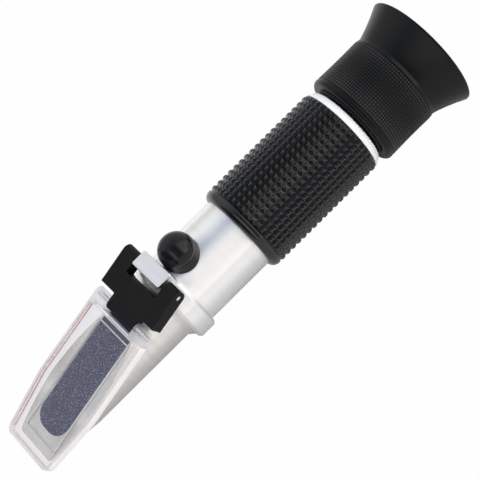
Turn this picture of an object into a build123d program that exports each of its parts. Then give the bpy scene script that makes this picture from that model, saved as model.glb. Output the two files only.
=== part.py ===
from build123d import *
import math
import os

# Handheld refractometer, in millimetres. X runs along the barrel from the prism end to the eye,
# Z points out of the side that carries the prism face, hinge and screw cap, and the origin is on
# the barrel's axis, at the shoulder where the bare tube leaves the hinge ring.

# Clearances
press_gap = 0.01
glue_gap = 0.05
running_gap = 0.04
seat_gap = 0.25
film_gap = 0.15
side_gap = 0.3

# Barrel tube
tube_r = 12.7
tube_wall = 1.5
tube_length = 67.3
bare_length = 23.7
tube_bore_r = tube_r - tube_wall
insert_r = tube_bore_r - glue_gap

# Hinge ring with its lug
ring_length = 6.4
ring_height = 1.7
ring_edge = 0.8
lug_half_width = 6.6
lug_front = 5.7
lug_back = 0.4
lug_edge = 0.8
hinge_pin_r = 0.8
hinge_pin_x = -3.66
hinge_rise = 2.79
lug_cover = 1.0
hinge_pin_z = tube_r + hinge_rise
lug_top_z = hinge_pin_z + hinge_pin_r + lug_cover

# Sloped face, placed from the hinge pin
face_angle = 17.5
pin_height = 1.45
hinge_distance = 63.2
slope = math.radians(face_angle)
nose_x = hinge_pin_x - hinge_distance * math.cos(slope) + pin_height * math.sin(slope)
nose_z = hinge_pin_z - hinge_distance * math.sin(slope) - pin_height * math.cos(slope)

# Prism housing
housing_step = 1.7
nose_step = 1.7
nose_taper_length = 18.5
cone_length = 1.95
spigot_length = 3.5
spigot_wall = 3.15
nose_edge = 0.6
housing_r = tube_r - housing_step
nose_r = housing_r - nose_step
housing_bore_r = insert_r - spigot_wall

# Main prism and its cement
prism_half_width = 6.45
prism_corner_r = 5.2
prism_setback = 6.2
prism_back_gap = 15.24
prism_floor_wall = 4.8
prism_bevel_wall = 0.7
cement = 0.2
prism_back_x = hinge_pin_x - prism_back_gap
prism_bottom_z = prism_floor_wall - housing_r

# Hinge block
cover_pin_distance = 48.1
cover_pin_r = 0.75
block_thickness = 4.0
block_overhang = 0.1
block_front = 51.5
arm_half_width = 6.2
arm_end_r = 1.75
arm_corner_r = 1.4
notch_side_gap = 0.5
notch_reach = 4.65
block_edge = 0.3
pin_inset = 0.2
block_half_width = tube_r + block_overhang

# Cover plate
cover_overhang = 2.3
cover_front_half_width = 10.4
cover_kink = 18.0
kink_overhang = 0.3
cover_floor = 1.3
cover_rim = 1.35
rim_wall = 1.0
cover_corner_r = 2.0
pad_height = 0.3
pad_front = 2.6
pad_back_gap = 5.8
pad_half_width = 7.5
ear_r = 1.8
ear_length = 2.7
ear_side_gap = 0.35
cross_wall_back = cover_pin_distance - ear_length
cover_kink_half_width = block_half_width + kink_overhang

# Calibration screw, its bush and the rubber cap
cap_base_r = 5.85
cap_dome_r = 5.65
cap_ring_gap = 0.2
cap_gap = 0.15
cap_straight = 2.7
screw_r = 1.25
screw_head_r = 1.9
screw_head_height = 1.6
screw_slot = 0.5
bush_neck_r = 2.3
bush_collar_r = 3.4
bush_height = 3.1
bush_well_height = 0.8
bush_foot_gap = 0.6
screw_x = cap_ring_gap + cap_base_r
cap_dome_z = tube_r + cap_straight
bush_top_z = tube_r + bush_height
bush_well_z = tube_r + bush_well_height
bush_foot_z = tube_bore_r - bush_foot_gap

# Lens rocker inside the tube
lever_length = 19.45
pivot_depth = 2.3
rocker_pin_r = 0.6
rocker_half_width = 2.8
rocker_rise = 0.8
rocker_thickness = 1.5
rocker_nose_gap = 0.4
rocker_tail_length = 9.0
rocker_relief = 0.5
rocker_relief_length = 8.5
rocker_pad_r = 1.5
rocker_pad_height = 0.4
rocker_boss_r = 1.5
screw_lift_gap = 0.3
pivot_x = screw_x + lever_length
pivot_z = tube_bore_r - pivot_depth
rocker_top_z = pivot_z + rocker_rise
strip_top_z = rocker_top_z - rocker_thickness
screw_tip_z = rocker_top_z + rocker_pad_height + screw_lift_gap
strip_thickness = 0.5
strip_half_width = 2.2
strip_back_gap = 2.5
strip_screw_gaps = (4.7, 7.1)
strip_screw_r = 0.55
strip_head_r = 1.05
strip_head_height = 0.7
strip_low_z = strip_top_z - strip_thickness

# Objective, hung from the strip
cell_back_gap = 11.0
cell_length = 5.0
cell_wall = 1.1
cell_lip = 0.9
saddle_height = 0.7
objective_thickness = 2.8
objective_edge = 1.4
cell_x = pivot_x - cell_back_gap - cell_length
cell_r = strip_low_z - saddle_height
objective_r = cell_r - cell_wall

# Frame that carries the rocker
frame_front = 3.5
frame_length = 7.0
frame_wall = 2.15
frame_slot_depth = 2.5
frame_screw_gap = 2.0
frame_screw_r = 0.8
frame_screw_angles = (60, 180, 300)
spring_thickness = 0.25
spring_half_width = 1.5
spring_length = 6.0
spring_x = pivot_x + rocker_boss_r + 1.0
frame_x = pivot_x - frame_front
frame_bore_r = insert_r - frame_wall
frame_screw_x = pivot_x + frame_screw_gap

# Light stop in the housing
stop_length = 2.0
stop_wall = 3.0

# Reticle and its cell
reticle_setback = 14.3
reticle_cell_length = 6.4
reticle_seat = 2.5
reticle_thickness = 1.5
reticle_cell_wall = 1.65
reticle_lip = 1.3
clamp_ring_length = 1.8
reticle_cell_x = tube_length - reticle_setback
reticle_x = reticle_cell_x + reticle_seat
reticle_r = insert_r - reticle_cell_wall
reticle_view_r = reticle_r - reticle_lip

# Rubber grip
grip_height = 2.5
grip_bead_length = 2.9
grip_edge = 1.8
grip_back_edge = 0.5
grip_groove = 0.3
grip_depth = 0.6
grip_rows = 18
grip_columns = 44
grip_r = tube_r + grip_height

# Rear ring with the focusing thread
rear_ring_length = 2.6
rear_ring_front_height = 2.4
rear_ring_back_height = 0.9
rear_ring_edge = 0.3
bush_spigot_length = 7.6
bush_wall = 1.55
focus_bore_r = insert_r - bush_wall

# Eyepiece barrel and lenses
eyepiece_gap = 1.05
eyepiece_step = 0.3
eyepiece_length = 22.55
neck_length = 10.15
neck_wall = 1.46
field_stop_length = 4.7
field_stop_lip = 0.8
field_lens_thickness = 2.4
field_lens_edge = 1.6
eye_lens_setback = 7.0
eye_lens_thickness = 3.2
eye_lens_edge = 2.2
spacer_wall = 1.0
lens_ring_length = 2.2
lens_ring_wall = 1.3
lens_margin = 0.2
eyepiece_x = tube_length + rear_ring_length + eyepiece_gap
eyepiece_r = tube_r + eyepiece_step
eyepiece_end_x = eyepiece_x + eyepiece_length
neck_x = eyepiece_x - neck_length
neck_r = focus_bore_r - running_gap
lens_bore_r = neck_r - neck_wall
field_stop_r = lens_bore_r - field_stop_lip
field_lens_x = neck_x + field_stop_length
eye_lens_x = eyepiece_end_x - eye_lens_setback

# Rubber eyecup
cup_setback = 0.35
bead_height = 3.3
bead_length = 3.7
bead_edge = 0.8
bead_groove = 0.5
sleeve_height = 3.1
sleeve_length = 15.2
sleeve_dip = 0.15
waist_height = 2.75
waist_length = 1.6
cup_length = 9.0
flare_height = 7.0
rim_edge = 0.4
rim_width = 1.3
eye_hole_step = 2.5
eye_lip_length = 1.3
funnel_foot_length = 2.7
funnel_foot_height = 1.7
rim_x = eyepiece_end_x + cup_length
rim_r = eyepiece_r + flare_height
eye_hole_r = eyepiece_r - eye_hole_step

face = Plane(
    origin=(nose_x, 0, nose_z),
    x_dir=(math.cos(slope), 0, math.sin(slope)),
    z_dir=(-math.sin(slope), 0, math.cos(slope)),
)
side = Plane(origin=face.origin, x_dir=face.x_dir, z_dir=(0, -1, 0))
beyond = tube_length


def turned(corners):
    """Turn a closed outline of (x, radius) or (x, radius, chamfer) corners about the barrel's axis."""
    outline = make_face(Polyline([corner[:2] for corner in corners], close=True))
    for corner in corners:
        if len(corner) == 3:
            vertex = outline.vertices().sort_by_distance((corner[0], corner[1], 0))[0]
            outline = chamfer(vertex, corner[2])
    return revolve(Plane.XZ * outline, Axis.X)


def ring(x, length, outer_r, inner_r):
    """A plain ring round the barrel's axis, its front face at x."""
    return turned([(x, inner_r), (x, outer_r), (x + length, outer_r), (x + length, inner_r)])


def round_bar(x, z, radius, half_length):
    """A bar across the instrument, along Y."""
    return Pos(x, 0, z) * Rot(90, 0, 0) * Cylinder(radius, 2 * half_length)


def upright(x, radius, low_z, high_z):
    """A bar along Z, between two heights."""
    bar = Cylinder(radius, high_z - low_z, align=(Align.CENTER, Align.CENTER, Align.MIN))
    return Pos(x, 0, low_z) * bar


def across(outline, half_width):
    """A side outline drawn along and out of the sloped face, carried to both sides."""
    return extrude(side * outline, amount=half_width, both=True)


def face_box(start, end, half_width, low, high):
    """A box that lies along the sloped face, between two heights over it."""
    box = Box(end - start, 2 * half_width, high - low, align=(Align.MIN, Align.CENTER, Align.MIN))
    return face * Pos(start, 0, low) * box


def on_face(distance, height):
    """X and Z of a point that lies this far up the sloped face and this high over it."""
    x = nose_x + distance * math.cos(slope) - height * math.sin(slope)
    z = nose_z + distance * math.sin(slope) + height * math.cos(slope)
    return x, z


def lens(x, radius, thickness, edge, seat):
    """A plano-convex lens with its flat face at x and a flat seat round its curve."""
    edge_end = x + edge
    bulge = thickness - edge
    clear_r = radius - seat - lens_margin
    curve_r = (clear_r**2 + bulge**2) / (2 * bulge)
    curve = RadiusArc((edge_end + bulge, 0), (edge_end, clear_r), -curve_r)
    rim = Polyline(curve @ 1, (edge_end, radius), (x, radius), (x, 0), curve @ 0)
    return revolve(Plane.XZ * make_face([curve, rim]), Axis.X)


def prism_shape(growth):
    """The prism's body, or the pocket for it when grown: a wedge with a rounded front end."""
    half_width = prism_half_width + growth
    start = prism_setback - growth
    outline = Rectangle(beyond, 2 * half_width, align=(Align.MIN, Align.CENTER))
    outline = fillet(outline.vertices().sort_by(Axis.X)[:2], prism_corner_r + growth)
    body = extrude(face * Pos(start, 0) * outline, amount=-beyond)
    length = prism_back_x - nose_x
    keep = Box(length, beyond, beyond, align=(Align.MIN, Align.CENTER, Align.MIN))
    body = body & (Pos(nose_x, 0, prism_bottom_z - growth) * keep)
    return body & ring(nose_x, length, housing_r - prism_bevel_wall + growth, 0)


def prism_housing():
    """Turned aluminium nose with its sloped face, the prism's pocket and the spigot for the tube."""
    cone_end = -ring_length
    body = turned(
        [
            (nose_x, 0),
            (nose_x, nose_r, nose_edge),
            (nose_x + nose_taper_length, housing_r),
            (cone_end - cone_length, housing_r),
            (cone_end, tube_r),
            (cone_end, insert_r),
            (spigot_length, insert_r),
            (spigot_length, housing_bore_r),
            (prism_back_x, housing_bore_r),
            (prism_back_x, 0),
        ]
    )
    body -= face_box(-beyond, 2 * beyond, beyond, 0, beyond)
    return body - prism_shape(cement)


def main_prism():
    """Glass wedge whose top face takes the drop of liquid."""
    return prism_shape(0)


def prism_cement():
    """Thin bed of cement round and under the prism."""
    return prism_shape(cement) - prism_shape(0)


def light_stop():
    """Black ring that trims the light behind the prism."""
    return ring(-stop_length, stop_length, housing_bore_r - glue_gap, housing_bore_r - stop_wall)


def hinge_ring():
    """Aluminium ring clamped between housing and tube, with the lug that carries the hinge pin."""
    front = -ring_length
    outer_r = tube_r + ring_height
    inner_r = tube_bore_r
    body = turned(
        [(front, inner_r), (front, outer_r, ring_edge), (0, outer_r, ring_edge), (0, inner_r)]
    )
    length = lug_front - lug_back
    height = lug_top_z - inner_r
    lug = Box(length, 2 * lug_half_width, height, align=(Align.MIN, Align.CENTER, Align.MIN))
    top = lug.faces().sort_by(Axis.Z)[-1]
    lug = chamfer(top.edges().filter_by(Axis.X), lug_edge)
    body += Pos(-lug_front, 0, inner_r) * lug - ring(front, ring_length, inner_r, 0)
    return body - round_bar(hinge_pin_x, hinge_pin_z, hinge_pin_r, beyond)


def hinge_pin():
    """Steel pin, tight in the lug, on which the hinge block turns."""
    half_length = block_half_width - pin_inset
    return round_bar(hinge_pin_x, hinge_pin_z, hinge_pin_r - press_gap, half_length)


def hinge_block():
    """Black moulded block: two cheeks round the lug and an arm that holds the cover plate."""
    half = block_thickness / 2
    top = pin_height + half
    cheek_length = hinge_distance - block_front
    cheek = Rectangle(cheek_length, block_thickness, align=(Align.MIN, Align.CENTER))
    cheek = Pos(block_front, pin_height) * cheek
    body = across(cheek + Pos(hinge_distance, pin_height) * Circle(half), block_half_width)

    arm_length = hinge_distance - cover_pin_distance
    arm_height = top - seat_gap
    bar = Rectangle(arm_length, arm_height, align=(Align.MIN, Align.MIN))
    arm = Pos(cover_pin_distance, seat_gap) * bar
    arm += Pos(cover_pin_distance, top - arm_end_r) * Circle(arm_end_r)
    plan = Rectangle(arm_length, 2 * arm_half_width, align=(Align.MIN, Align.CENTER))
    plan = fillet(plan.vertices().sort_by(Axis.X)[:2], arm_corner_r)
    plan = face * Pos(cover_pin_distance - arm_end_r, 0, seat_gap) * plan
    relief = face_box(0, hinge_distance, arm_half_width, -half, seat_gap)
    body = body - relief + (across(arm, arm_half_width) & extrude(plan, amount=arm_height))

    notch_start = hinge_distance - notch_reach
    notch_half_width = lug_half_width + notch_side_gap
    body -= face_box(notch_start, notch_start + beyond, notch_half_width, -beyond, beyond)
    sides = body.faces().filter_by(Axis.Y).sort_by(Axis.Y)
    body = chamfer(sides[0].edges() + sides[-1].edges(), block_edge)
    cover_x, cover_z = on_face(cover_pin_distance, pin_height)
    body -= round_bar(hinge_pin_x, hinge_pin_z, hinge_pin_r + running_gap, beyond)
    return body - round_bar(cover_x, cover_z, cover_pin_r, beyond)


def cover_pin():
    """Steel pin through the arm and the cover plate's ears."""
    x, z = on_face(cover_pin_distance, pin_height)
    return round_bar(x, z, cover_pin_r - press_gap, block_half_width - pin_inset)


def cover_plate():
    """Clear acrylic tray: floor, raised rim, frosted pad under it and two ears for the pin."""
    floor_low = film_gap + pad_height
    height = cover_floor + cover_rim
    half_plan = Polyline(
        (-cover_overhang, 0),
        (-cover_overhang, cover_front_half_width),
        (cover_kink, cover_kink_half_width),
        (cover_pin_distance, block_half_width),
        (cover_pin_distance, 0),
    )
    plan = make_face([half_plan, mirror(half_plan, Plane.XZ)])
    plan = fillet(plan.vertices().sort_by(Axis.X)[:2], cover_corner_r)
    inner = offset(plan, -rim_wall, kind=Kind.INTERSECTION)
    past_wall = Rectangle(beyond, beyond, align=(Align.MIN, Align.CENTER))
    inner -= Pos(cross_wall_back - rim_wall, 0) * past_wall
    tray = extrude(face * Pos(0, 0, floor_low) * plan, amount=height)
    tray -= extrude(face * Pos(0, 0, floor_low + cover_floor) * inner, amount=height)
    tray += across(Pos(cover_pin_distance, pin_height) * Circle(ear_r), block_half_width)
    slot_half_width = arm_half_width + ear_side_gap
    tray -= face_box(cross_wall_back, beyond, slot_half_width, -beyond, beyond)
    pad_end = cover_pin_distance - pad_back_gap
    tray += face_box(pad_front, pad_end, pad_half_width, film_gap, floor_low)
    x, z = on_face(cover_pin_distance, pin_height)
    return tray - round_bar(x, z, cover_pin_r + running_gap, beyond)


def barrel_tube():
    """Bare aluminium tube, bored for the calibration screw's bush and the frame's screws."""
    body = ring(0, tube_length, tube_r, tube_bore_r)
    body -= upright(screw_x, bush_neck_r, 0, tube_r)
    return body - frame_screw_bars(frame_screw_r, frame_bore_r, beyond)


def screw_bush():
    """Threaded bush seated on the tube, round the calibration screw."""
    collar = upright(screw_x, bush_collar_r, tube_bore_r, bush_top_z)
    collar -= ring(0, tube_length, tube_r, 0)
    body = collar + upright(screw_x, bush_neck_r - glue_gap, bush_foot_z, bush_top_z)
    body -= upright(screw_x, screw_r + running_gap, 0, bush_top_z)
    return body - upright(screw_x, screw_head_r + glue_gap, bush_well_z, bush_top_z)


def calibration_screw():
    """Slotted screw whose tip tilts the lens rocker."""
    seat_z = bush_well_z + running_gap
    head_top = seat_z + screw_head_height
    body = upright(screw_x, screw_r, screw_tip_z, head_top)
    body += upright(screw_x, screw_head_r, seat_z, head_top)
    slot = Box(2 * screw_head_r, screw_slot, screw_slot, align=(Align.CENTER, Align.CENTER, Align.MAX))
    return body - Pos(screw_x, 0, head_top) * slot


def screw_cap():
    """Rubber cap with a domed top and a base that follows the tube."""
    wall = Polyline((0, tube_bore_r), (cap_base_r, tube_bore_r), (cap_dome_r, cap_dome_z))
    dome = RadiusArc(wall @ 1, (0, cap_dome_z + cap_dome_r), -cap_dome_r)
    outline = make_face([wall, dome, Line(dome @ 1, wall @ 0)])
    axis = Axis((screw_x, 0, 0), (0, 0, 1))
    body = revolve(Pos(screw_x, 0, 0) * (Plane.XZ * outline), axis)
    body -= upright(screw_x, bush_collar_r + glue_gap, 0, bush_top_z + seat_gap)
    return body - ring(0, tube_length, tube_r + cap_gap, 0)


def frame_screw_bars(radius, low_r, high_r):
    """Radial bars at the frame's fixing screws, between two radii."""
    bar = upright(frame_screw_x, radius, low_r, high_r)
    return [Rot(angle, 0, 0) * bar for angle in frame_screw_angles]


def lens_frame():
    """Ring fixed in the tube, slotted at the top for the rocker and drilled for its pivot pin."""
    body = ring(frame_x, frame_length, insert_r, frame_bore_r)
    slot_width = 2 * (rocker_half_width + side_gap)
    slot = Box(frame_length, slot_width, beyond, align=(Align.MIN, Align.CENTER, Align.MIN))
    body -= Pos(frame_x, 0, pivot_z - frame_slot_depth) * slot
    body -= frame_screw_bars(frame_screw_r, 0, beyond)
    return body - round_bar(pivot_x, pivot_z, rocker_pin_r, beyond)


def frame_screws():
    """Grub screws through the tube wall into the frame."""
    return frame_screw_bars(frame_screw_r - press_gap, frame_bore_r + glue_gap, tube_r - glue_gap)


def rocker_pin():
    """Steel pivot pin across the frame's slot."""
    half_length = math.sqrt(insert_r**2 - (pivot_z + rocker_pin_r) ** 2)
    return round_bar(pivot_x, pivot_z, rocker_pin_r - press_gap, half_length)


def return_spring():
    """Bowed leaf between the rocker's tail and the tube, which keeps the rocker on the screw."""
    low = rocker_top_z + seat_gap
    high = math.sqrt(tube_bore_r**2 - spring_half_width**2) - glue_gap
    middle = spring_x + spring_length / 2
    end = spring_x + spring_length
    lower = ThreePointArc((spring_x, low), (middle, high - spring_thickness), (end, low))
    upper = ThreePointArc(
        (end + spring_thickness, low), (middle, high), (spring_x - spring_thickness, low)
    )
    outline = make_face([lower, Line(lower @ 1, upper @ 0), upper, Line(upper @ 1, lower @ 0)])
    return extrude(Plane.XZ * outline, amount=spring_half_width, both=True)


def strip_screw_bars(radius, low_z, high_z):
    """Bars at the two screws that clamp the strip, between two heights."""
    return [upright(pivot_x - gap, radius, low_z, high_z) for gap in strip_screw_gaps]


def rocker_arm():
    """Brass bar that hangs the objective and is tilted by the calibration screw."""
    front_x = spigot_length + rocker_nose_gap
    relief_x = pivot_x - rocker_relief_length
    back_x = pivot_x + rocker_tail_length
    outline = make_face(
        Polyline(
            (front_x, strip_top_z + rocker_relief),
            (relief_x, strip_top_z + rocker_relief),
            (relief_x, strip_top_z),
            (back_x, strip_top_z),
            (back_x, rocker_top_z),
            (front_x, rocker_top_z),
            close=True,
        )
    )
    body = extrude(Plane.XZ * outline, amount=rocker_half_width, both=True)
    body += upright(screw_x, rocker_pad_r, rocker_top_z, rocker_top_z + rocker_pad_height)
    body += round_bar(pivot_x, pivot_z, rocker_boss_r, rocker_half_width)
    body -= round_bar(pivot_x, pivot_z, rocker_pin_r + running_gap, beyond)
    return body - strip_screw_bars(strip_screw_r, 0, beyond)


def bimetal_strip():
    """Two-metal strip that bends with temperature and carries the objective's cell."""
    length = pivot_x - strip_back_gap - cell_x
    align = (Align.MIN, Align.CENTER, Align.MAX)
    body = Pos(cell_x, 0, strip_top_z) * Box(length, 2 * strip_half_width, strip_thickness, align=align)
    return body - strip_screw_bars(strip_screw_r, 0, beyond)


def strip_screws():
    """Two screws that clamp the strip under the rocker."""
    heads = strip_screw_bars(strip_head_r, strip_low_z - strip_head_height, strip_low_z)
    shanks = strip_screw_bars(strip_screw_r - press_gap, strip_low_z, rocker_top_z)
    return [head + shank for head, shank in zip(heads, shanks)]


def objective_cell():
    """Brass ring hung from the strip's free end, round the objective lens."""
    body = ring(cell_x, cell_length, cell_r, objective_r)
    body += ring(cell_x, cell_lip, cell_r, objective_r - cell_lip)
    middle_r = (cell_r + objective_r) / 2
    size = (cell_length, 2 * strip_half_width, strip_low_z - middle_r)
    saddle = Box(*size, align=(Align.MIN, Align.CENTER, Align.MIN))
    return body + Pos(cell_x, 0, middle_r) * saddle - ring(cell_x + cell_lip, cell_length, objective_r, 0)


def objective_lens():
    """Small objective that throws the prism's edge of shadow on the reticle."""
    radius = objective_r - press_gap
    return lens(cell_x + cell_lip, radius, objective_thickness, objective_edge, cell_lip)


def objective_ring():
    """Ring that holds the objective in its cell."""
    start = cell_x + cell_lip + objective_edge
    return ring(start, cell_x + cell_length - start, objective_r - press_gap, objective_r - cell_lip)


def reticle_cell():
    """Ring glued in the tube, with the seat for the reticle."""
    end = reticle_cell_x + reticle_cell_length
    return turned(
        [
            (reticle_cell_x, reticle_view_r),
            (reticle_cell_x, insert_r),
            (end, insert_r),
            (end, reticle_r),
            (reticle_x, reticle_r),
            (reticle_x, reticle_view_r),
        ]
    )


def reticle():
    """Glass disc that carries the scale, in the eyepiece's focus."""
    return ring(reticle_x, reticle_thickness, reticle_r - press_gap, 0)


def reticle_clamp_ring():
    """Ring that holds the reticle on its seat."""
    start = reticle_x + reticle_thickness
    return ring(start, clamp_ring_length, reticle_r - press_gap, reticle_view_r)


def grip_sleeve():
    """Rubber sleeve on the tube: a smooth bead in front, then rows of small pyramids."""
    inner_r = tube_r + glue_gap
    bead_end = bare_length + grip_bead_length
    start = bead_end + grip_groove
    half_angle = math.pi / grip_columns
    root_r = grip_r - grip_depth
    valley_z = root_r * math.cos(half_angle)
    valley_y = root_r * math.sin(half_angle)

    pitch = (tube_length - start) / grip_rows
    teeth = [(start, 0), (start, valley_z)]
    for row in range(1, grip_rows + 1):
        teeth += [(start + row * pitch - pitch / 2, grip_r), (start + row * pitch, valley_z)]
    teeth.append((tube_length, 0))
    column = extrude(Plane.XZ * make_face(Polyline(teeth, close=True)), amount=valley_y, both=True)
    roof = make_face(Polyline((0, 0), (valley_y, valley_z), (0, grip_r), (-valley_y, valley_z), close=True))
    column &= Pos(start, 0, 0) * extrude(Plane.YZ * roof, amount=tube_length - start)
    column -= ring(start, tube_length, inner_r, 0)
    columns = [Rot(360 / grip_columns * k, 0, 0) * column for k in range(grip_columns)]
    pyramids = columns[0].fuse(*columns[1:])

    groove_r = root_r - grip_groove
    front = turned(
        [
            (bare_length, inner_r),
            (bare_length, grip_r, grip_edge),
            (bead_end, grip_r, grip_back_edge),
            (bead_end, groove_r),
            (start, groove_r),
            (start, inner_r),
        ]
    )
    return front + pyramids


def focus_bush():
    """Bright aluminium ring behind the grip, with the spigot that holds the focusing thread."""
    end = tube_length + rear_ring_length
    return turned(
        [
            (tube_length - bush_spigot_length, focus_bore_r),
            (tube_length - bush_spigot_length, insert_r),
            (tube_length, insert_r),
            (tube_length, tube_r + rear_ring_front_height, rear_ring_edge),
            (end, tube_r + rear_ring_back_height, rear_ring_edge),
            (end, focus_bore_r),
        ]
    )


def eyepiece_barrel():
    """Black threaded barrel that holds the eyepiece lenses."""
    return turned(
        [
            (neck_x, field_stop_r),
            (neck_x, neck_r),
            (eyepiece_x, neck_r),
            (eyepiece_x, eyepiece_r),
            (eyepiece_end_x, eyepiece_r),
            (eyepiece_end_x, lens_bore_r),
            (field_lens_x, lens_bore_r),
            (field_lens_x, field_stop_r),
        ]
    )


def field_lens():
    """Front lens of the eyepiece."""
    radius = lens_bore_r - running_gap
    return lens(field_lens_x + running_gap, radius, field_lens_thickness, field_lens_edge, spacer_wall)


def lens_spacer():
    """Black tube that keeps the two eyepiece lenses apart."""
    start = field_lens_x + running_gap + field_lens_edge
    radius = lens_bore_r - running_gap
    return ring(start, eye_lens_x - start, radius, radius - spacer_wall)


def eye_lens():
    """Lens next to the eye."""
    radius = lens_bore_r - running_gap
    return lens(eye_lens_x, radius, eye_lens_thickness, eye_lens_edge, lens_ring_wall)


def eye_lens_ring():
    """Threaded ring that closes the eyepiece's lens stack."""
    start = eye_lens_x + eye_lens_edge + running_gap
    return ring(start, lens_ring_length, lens_bore_r - glue_gap, lens_bore_r - lens_ring_wall)


def eyecup():
    """Soft rubber eyecup: front bead, sleeve, waist and a flared rim round a funnel."""
    front = eyepiece_x + cup_setback
    inner_r = eyepiece_r + glue_gap
    bead_r = eyepiece_r + bead_height
    sleeve_r = eyepiece_r + sleeve_height
    low_r = sleeve_r - sleeve_dip
    waist_r = eyepiece_r + waist_height
    bead_end = front + bead_length
    sleeve_end = bead_end + sleeve_length
    sleeve_middle = (bead_end + sleeve_end) / 2
    barrel_end = eyepiece_end_x + glue_gap
    lip_x = eyepiece_end_x + eye_lip_length
    return turned(
        [
            (front, inner_r),
            (front, bead_r, bead_edge),
            (bead_end - bead_groove, bead_r),
            (bead_end - bead_groove, low_r),
            (bead_end, low_r),
            (bead_end, sleeve_r),
            (sleeve_middle, low_r),
            (sleeve_end, sleeve_r),
            (sleeve_end, waist_r),
            (sleeve_end + waist_length, waist_r),
            (rim_x - rim_edge, rim_r),
            (rim_x, rim_r - rim_edge),
            (rim_x, rim_r - rim_width),
            (lip_x + funnel_foot_length, eye_hole_r + funnel_foot_height),
            (lip_x, eye_hole_r),
            (barrel_end, eye_hole_r),
            (barrel_end, inner_r),
        ]
    )


sub_parts = [
    prism_housing, main_prism, prism_cement, light_stop,
    hinge_ring, hinge_pin, hinge_block, cover_pin, cover_plate,
    barrel_tube, screw_bush, calibration_screw, screw_cap,
    lens_frame, frame_screws, rocker_pin, return_spring,
    rocker_arm, bimetal_strip, strip_screws, objective_cell, objective_lens, objective_ring,
    reticle_cell, reticle, reticle_clamp_ring,
    grip_sleeve, focus_bush, eyepiece_barrel,
    field_lens, lens_spacer, eye_lens, eye_lens_ring, eyecup,
]

os.makedirs("parts", exist_ok=True)
for make in sub_parts:
    shape = make()
    if isinstance(shape, list):
        shape = Compound(children=[Solid(piece.solid().wrapped) for piece in shape])
    shape.label = make.__name__
    export_step(shape, f"parts/{make.__name__}.step")
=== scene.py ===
import math

import bpy
import bmesh
from mathutils import Matrix, Vector


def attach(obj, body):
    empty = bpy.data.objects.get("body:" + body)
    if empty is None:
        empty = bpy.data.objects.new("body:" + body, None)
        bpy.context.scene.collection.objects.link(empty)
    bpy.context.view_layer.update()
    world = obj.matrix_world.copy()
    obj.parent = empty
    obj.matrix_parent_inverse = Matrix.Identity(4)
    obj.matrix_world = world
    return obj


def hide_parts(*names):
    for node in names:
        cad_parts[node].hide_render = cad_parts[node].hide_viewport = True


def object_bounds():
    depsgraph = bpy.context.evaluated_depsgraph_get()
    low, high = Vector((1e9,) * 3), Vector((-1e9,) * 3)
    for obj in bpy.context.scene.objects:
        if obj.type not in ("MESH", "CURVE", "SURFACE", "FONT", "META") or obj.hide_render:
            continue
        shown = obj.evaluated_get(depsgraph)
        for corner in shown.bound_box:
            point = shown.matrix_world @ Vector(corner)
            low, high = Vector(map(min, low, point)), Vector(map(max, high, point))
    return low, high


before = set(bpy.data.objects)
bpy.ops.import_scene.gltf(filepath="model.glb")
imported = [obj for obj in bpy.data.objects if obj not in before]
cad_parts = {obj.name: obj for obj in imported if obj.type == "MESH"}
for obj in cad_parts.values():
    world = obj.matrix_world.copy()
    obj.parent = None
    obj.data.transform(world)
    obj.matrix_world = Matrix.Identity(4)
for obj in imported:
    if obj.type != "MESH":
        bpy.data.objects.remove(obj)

cad_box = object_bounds()
mm = 0.001

# The view: the instrument lies level, seen from above and a little from its right-hand side,
# from about half a metre away, with its barrel along the picture's diagonal.
toward_camera = Vector((-0.09, -0.57, 0.8167)).normalized()
along_barrel = (Vector((1, 0, 0)) - toward_camera * toward_camera.x).normalized()
over_barrel = toward_camera.cross(along_barrel)
camera_distance = 462.1
camera_roll = 0.005
aim_along = 22.36
aim_over = -2.03
strip_right = along_barrel * math.cos(camera_roll) + over_barrel * math.sin(camera_roll)
strip_up = over_barrel * math.cos(camera_roll) - along_barrel * math.sin(camera_roll)
camera_right = (strip_right - strip_up).normalized()
camera_up = (strip_right + strip_up).normalized()
camera_place = toward_camera * camera_distance + strip_right * aim_along + strip_up * aim_over

camera_data = bpy.data.cameras.new("camera")
camera_data.sensor_width = 36
camera_data.sensor_height = 36
camera_data.sensor_fit = "HORIZONTAL"
camera_data.lens = 116.25
camera_data.clip_start = 0.01
camera = bpy.data.objects.new("camera", camera_data)
turn = Matrix((camera_right, camera_up, toward_camera)).transposed()
camera.matrix_world = Matrix.Translation(camera_place * mm) @ turn.to_4x4()
bpy.context.scene.collection.objects.link(camera)
bpy.context.scene.camera = camera
bpy.context.scene.view_settings.view_transform = "Standard"


# The studio: a wide white table under the eyecup's rim, a white room that is brighter in front
# and dimmer and bluer straight overhead, and two soft lamps that model the shapes.
def node(tree, kind, inputs=None, **settings):
    """A shader node with its settings, and its inputs set or linked by name or number."""
    made = tree.nodes.new("ShaderNode" + kind)
    for key, value in settings.items():
        setattr(made, key, value)
    for key, value in (inputs or {}).items():
        if isinstance(value, bpy.types.NodeSocket):
            tree.links.new(value, made.inputs[key])
        else:
            made.inputs[key].default_value = value
    return made


def reckon(tree, operation, first, second=0.5, third=0.5):
    """The value of a Math node."""
    return node(tree, "Math", {0: first, 1: second, 2: third}, operation=operation).outputs[0]


def product(tree, first, *others):
    """Values multiplied together."""
    for other in others:
        first = reckon(tree, "MULTIPLY", first, other)
    return first


def distance_to(tree, value, centre):
    """How far a value is from this one, either way."""
    return reckon(tree, "ABSOLUTE", reckon(tree, "SUBTRACT", value, centre))


def scaled(tree, value, start, end, low=0.0, high=1.0, interpolation_type="LINEAR"):
    """A value carried from one range over to another and held at its ends."""
    inputs = {0: value, 1: start, 2: end, 3: low, 4: high}
    return node(tree, "MapRange", inputs, interpolation_type=interpolation_type).outputs[0]


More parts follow.
